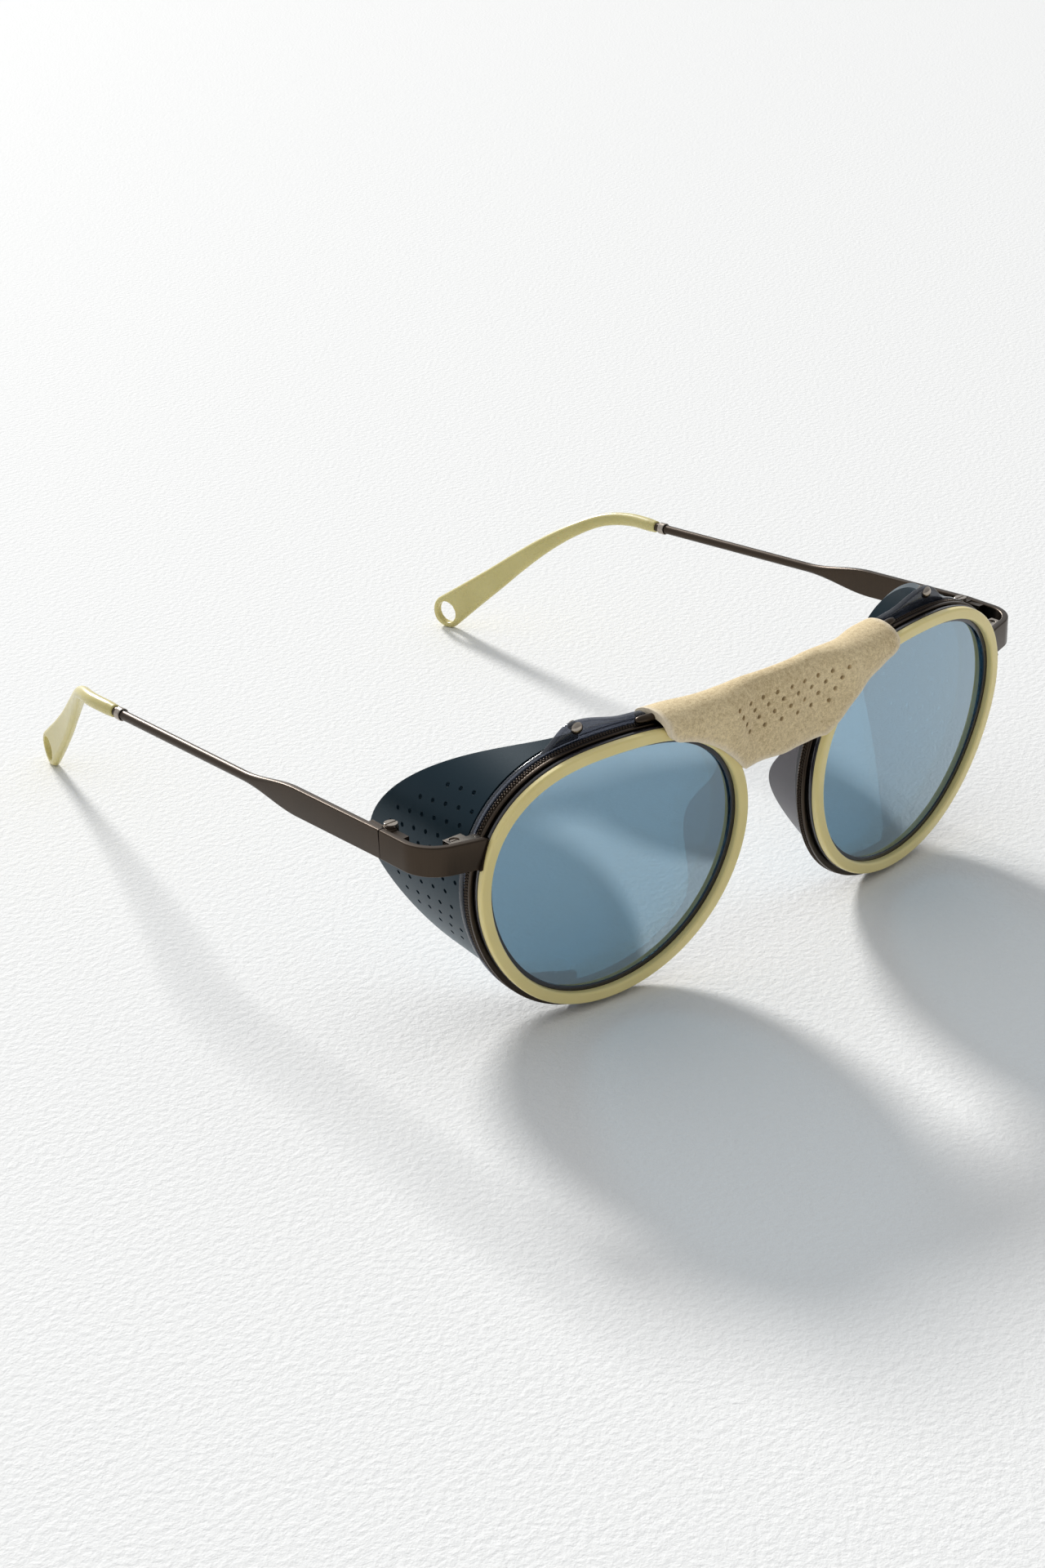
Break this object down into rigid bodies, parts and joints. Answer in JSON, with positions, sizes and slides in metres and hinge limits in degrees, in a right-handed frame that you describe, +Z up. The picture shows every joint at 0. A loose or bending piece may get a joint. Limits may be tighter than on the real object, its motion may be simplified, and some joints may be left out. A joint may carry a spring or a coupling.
{
  "type": "glacier glasses",
  "caption": "Round-lens mountain sunglasses with clip-in side shields, a folded nose cover, wire temples that fold and flattened tips with eyelets.",
  "frame": {"origin": "on the table under the middle of the whole part, halfway between the lens fronts and the temple tips", "axes": "+X towards the wearer's left, +Y back along the temples, +Z up"},
  "size_m": [0.1418, 0.1612, 0.0535],
  "materials": {
    "cream_plastic": "smooth cream plastic, slightly translucent",
    "tinted_glass": "blue tint with a pale mirror coat",
    "smoke_plastic": "glossy translucent smoke",
    "bronze_metal": "satin dark bronze, brushed upright",
    "polished_metal": "polished",
    "navy_plastic": "glossy translucent navy",
    "slate_wing": "matte fine grain with punched holes",
    "suede": "tan suede with punched holes and pale raw edges"
  },
  "bodies": {
    "frame": {"right_front_rim": "cream_plastic", "left_front_rim": "cream_plastic", "right_lens": "tinted_glass", "left_lens": "tinted_glass", "right_inner_rim": "smoke_plastic", "left_inner_rim": "smoke_plastic", "right_eyewire": "bronze_metal", "left_eyewire": "bronze_metal", "right_closing_block": "polished_metal", "left_closing_block": "polished_metal", "right_rim_screw": "polished_metal", "left_rim_screw": "polished_metal", "right_end_piece": "bronze_metal", "left_end_piece": "bronze_metal", "right_front_hinge": "bronze_metal", "left_front_hinge": "bronze_metal", "right_hinge_screw": "polished_metal", "left_hinge_screw": "polished_metal", "right_shield_carrier": "navy_plastic", "left_shield_carrier": "navy_plastic", "right_shield_wing": "slate_wing", "left_shield_wing": "slate_wing", "right_shield_pin": "polished_metal", "left_shield_pin": "polished_metal", "right_nose_flange": "smoke_plastic", "left_nose_flange": "smoke_plastic", "brow_bar": "bronze_metal", "nose_bridge": "bronze_metal", "nose_cover": "suede"},
    "right_temple": {"right_temple": "bronze_metal", "right_temple_hinge": "bronze_metal", "right_temple_collar": "polished_metal", "right_temple_tip": "cream_plastic"},
    "left_temple": {"left_temple": "bronze_metal", "left_temple_hinge": "bronze_metal", "left_temple_collar": "polished_metal", "left_temple_tip": "cream_plastic"}
  },
  "joints": [
    {"name": "right_temple_fold", "type": "hinge", "parent": "frame", "child": "right_temple", "pos_m": [-0.0683, -0.05633, 0.03667], "axis": [0, 0, -1], "range_deg": [0, 85], "deforming": ["right_shield_wing"]},
    {"name": "left_temple_fold", "type": "hinge", "parent": "frame", "child": "left_temple", "pos_m": [0.0683, -0.05633, 0.03667], "axis": [0, 0.0523, 0.9986], "range_deg": [0, 82], "deforming": ["left_shield_wing"]}
  ]
}
